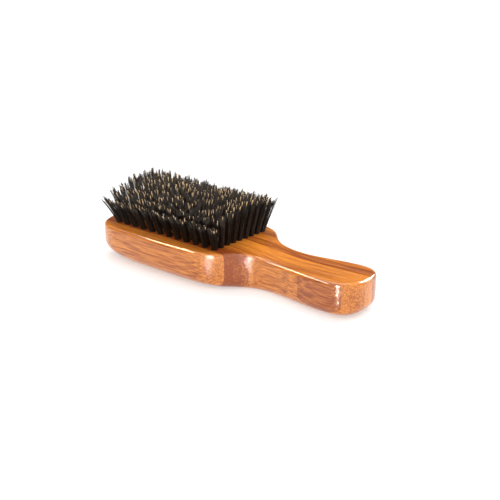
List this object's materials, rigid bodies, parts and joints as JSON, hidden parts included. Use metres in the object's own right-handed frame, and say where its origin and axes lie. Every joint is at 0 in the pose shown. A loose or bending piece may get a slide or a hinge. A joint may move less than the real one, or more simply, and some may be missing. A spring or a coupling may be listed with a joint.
{
  "type": "beard brush",
  "caption": "Club-shaped beard brush: lacquered laminated bamboo board with a waisted handle and a rectangular field of dark boar bristle tufts set in blind holes.",
  "frame": {"origin": "on the underside, at the middle of the brush's length and width", "axes": "+X from the head towards the butt of the handle, +Z out of the face that the bristles stand on"},
  "size_m": [0.1806, 0.0656, 0.0436],
  "materials": {
    "bamboo_light": "gloss clear lacquer",
    "bamboo_dark": "gloss clear lacquer",
    "bristle": "natural boar bristle, near black with scattered pale tips"
  },
  "bodies": {
    "root": {"bamboo_strip_middle": "bamboo_light", "bamboo_strip_right_1": "bamboo_dark", "bamboo_strip_right_2": "bamboo_light", "bamboo_strip_right_3": "bamboo_dark", "bamboo_strip_right_4": "bamboo_light", "bamboo_strip_right_5": "bamboo_dark", "bamboo_strip_left_1": "bamboo_dark", "bamboo_strip_left_2": "bamboo_light", "bamboo_strip_left_3": "bamboo_dark", "bamboo_strip_left_4": "bamboo_light", "bamboo_strip_left_5": "bamboo_dark", "bristle_row_1": "bristle", "bristle_row_2": "bristle", "bristle_row_3": "bristle", "bristle_row_4": "bristle", "bristle_row_5": "bristle", "bristle_row_6": "bristle", "bristle_row_7": "bristle", "bristle_row_8": "bristle", "bristle_row_9": "bristle", "bristle_row_10": "bristle", "bristle_row_11": "bristle", "bristle_row_12": "bristle"}
  },
  "joints": []
}
